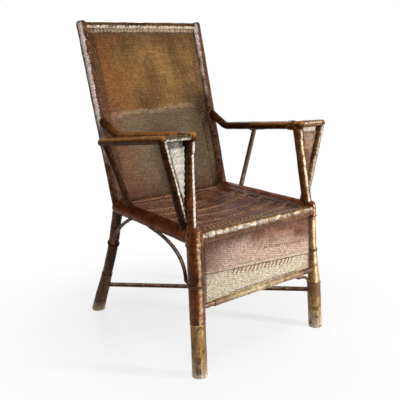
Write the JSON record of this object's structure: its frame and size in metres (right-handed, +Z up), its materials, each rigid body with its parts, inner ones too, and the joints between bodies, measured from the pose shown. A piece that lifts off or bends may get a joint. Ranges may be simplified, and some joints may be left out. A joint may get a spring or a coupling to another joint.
{
  "type": "rattan armchair",
  "caption": "Rattan armchair with a woven cane seat, back and apron on a wrapped pole frame, flat woven arms on raked posts, and crossed stretchers under the seat.",
  "frame": {"origin": "on the floor, under the middle of the bounding box", "axes": "+Z up, the front faces -Y, +X is the sitter's left"},
  "size_m": [0.6946, 0.6706, 1.0435],
  "materials": {
    "rattan_pole": "lacquered dark rattan",
    "bare_cane": "dark bare cane, satin",
    "brown_woven_cane": "split cane, closely woven or wound, lacquered brown",
    "pale_woven_cane": "split cane, closely woven, worn pale",
    "ochre_woven_cane": "split cane, closely woven, ochre and grey-brown",
    "worn_cane": "split cane, wound, worn at the feet",
    "cord": "split cane cord"
  },
  "bodies": {
    "root": {"apron_bracket": "bare_cane", "apron_cover": "pale_woven_cane", "apron_end_wrap": "brown_woven_cane", "apron_rail": "rattan_pole", "arm_cover_left": "brown_woven_cane", "arm_cover_right": "brown_woven_cane", "arm_front_bar_left": "rattan_pole", "arm_front_bar_right": "rattan_pole", "arm_front_cover_left": "brown_woven_cane", "arm_front_cover_right": "brown_woven_cane", "arm_inner_pole_left": "rattan_pole", "arm_inner_pole_right": "rattan_pole", "arm_inner_post_left": "rattan_pole", "arm_inner_post_right": "rattan_pole", "arm_outer_pole_left": "rattan_pole", "arm_outer_pole_right": "rattan_pole", "arm_outer_post_left": "rattan_pole", "arm_outer_post_right": "rattan_pole", "arm_strut_left": "rattan_pole", "arm_strut_right": "rattan_pole", "back_cover": "ochre_woven_cane", "back_top_rail": "rattan_pole", "front_binding_left": "cord", "front_binding_right": "cord", "front_brace_left": "bare_cane", "front_brace_right": "bare_cane", "front_foot_wrap_left": "worn_cane", "front_foot_wrap_right": "worn_cane", "front_leg_left": "rattan_pole", "front_leg_right": "rattan_pole", "front_leg_wrap_left": "brown_woven_cane", "front_leg_wrap_right": "brown_woven_cane", "front_seat_rail": "rattan_pole", "leg_collar_left": "brown_woven_cane", "leg_collar_right": "brown_woven_cane", "peg_front_left": "bare_cane", "peg_front_right": "bare_cane", "peg_rear_left": "bare_cane", "peg_rear_right": "bare_cane", "peg_top_left": "bare_cane", "peg_top_right": "bare_cane", "rear_binding_left": "cord", "rear_binding_right": "cord", "rear_brace_left": "bare_cane", "rear_brace_right": "bare_cane", "rear_foot_wrap_left": "worn_cane", "rear_foot_wrap_right": "worn_cane", "rear_leg_wrap_left": "brown_woven_cane", "rear_leg_wrap_right": "brown_woven_cane", "rear_post_left": "rattan_pole", "rear_post_right": "rattan_pole", "rear_seat_rail": "rattan_pole", "seat_cover": "brown_woven_cane", "side_seat_rail_left": "rattan_pole", "side_seat_rail_right": "rattan_pole", "stretcher_lower": "bare_cane", "stretcher_upper": "bare_cane", "strut_wrap_left": "brown_woven_cane", "strut_wrap_right": "brown_woven_cane"}
  },
  "joints": []
}
